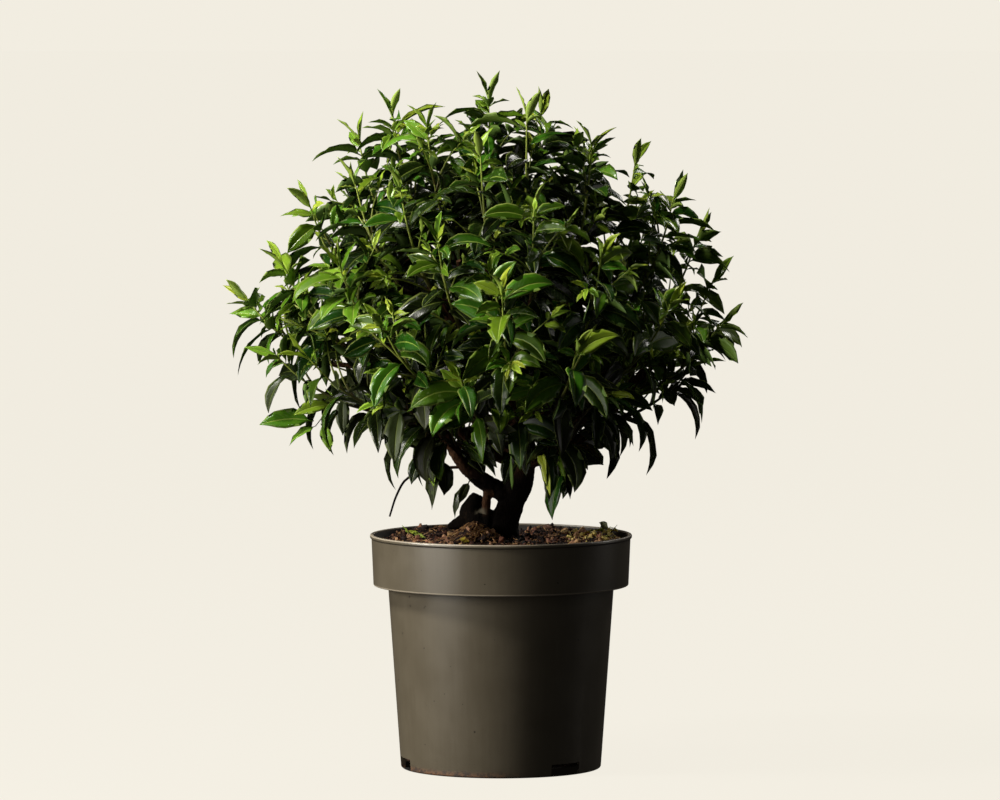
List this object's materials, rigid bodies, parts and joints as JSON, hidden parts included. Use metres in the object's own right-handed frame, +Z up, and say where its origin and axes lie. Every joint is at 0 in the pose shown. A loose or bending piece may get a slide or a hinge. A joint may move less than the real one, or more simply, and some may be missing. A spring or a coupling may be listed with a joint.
{
  "type": "potted portugal laurel",
  "caption": "Clipped ball of Portugal laurel on a short forked trunk, in a round tapered nursery pot with a stepped collar, filled with compost.",
  "frame": {"origin": "middle of the whole plant's bounding box, on the surface that the pot stands on; the pot's own axis is 18 mm to +X and 3 mm to +Y of it, because the ball of leaves leans to one side", "axes": "+Z up, -Y towards the side seen in the picture, +X to that view's right"},
  "size_m": [0.4974, 0.4568, 0.6656],
  "materials": {
    "pot_plastic": "satin",
    "compost": "matte",
    "bark": "matte",
    "leaf": "satin"
  },
  "bodies": {
    "root": {"pot": "pot_plastic", "shoot_01": "leaf", "shoot_02": "leaf", "shoot_03": "leaf", "shoot_04": "leaf", "shoot_05": "leaf", "shoot_06": "leaf", "shoot_07": "leaf", "shoot_08": "leaf", "shoot_09": "leaf", "shoot_10": "leaf", "shoot_11": "leaf", "shoot_12": "leaf", "shoot_13": "leaf", "shoot_14": "leaf", "shoot_15": "leaf", "shoot_16": "leaf", "shoot_17": "leaf", "shoot_18": "leaf", "shoot_19": "leaf", "shoot_20": "leaf", "shoot_21": "leaf", "shoot_22": "leaf", "shoot_23": "leaf", "shoot_24": "leaf", "shoot_25": "leaf", "shoot_26": "leaf", "shoot_27": "leaf", "shoot_28": "leaf", "shoot_29": "leaf", "shoot_30": "leaf", "shoot_31": "leaf", "shoot_32": "leaf", "shoot_33": "leaf", "shoot_34": "leaf", "shoot_crown_top": "leaf", "shoot_far_left": "leaf", "shoot_far_right": "leaf", "shoot_left": "leaf", "shoot_lower_left": "leaf", "shoot_lower_right": "leaf", "shoot_right": "leaf", "shoot_right_back": "leaf", "shoot_shoulder_left": "leaf", "shoot_shoulder_left_front": "leaf", "shoot_shoulder_right": "leaf", "shoot_skirt_left": "leaf", "shoot_skirt_left_front": "leaf", "shoot_skirt_right": "leaf", "shoot_skirt_right_front": "leaf", "shoot_top_left": "leaf", "shoot_top_left_front": "leaf", "shoot_top_right": "leaf", "shoot_top_right_front": "leaf", "shoot_upper_left": "leaf", "shoot_upper_right": "leaf", "soil": "compost", "wood": "bark"}
  },
  "joints": []
}
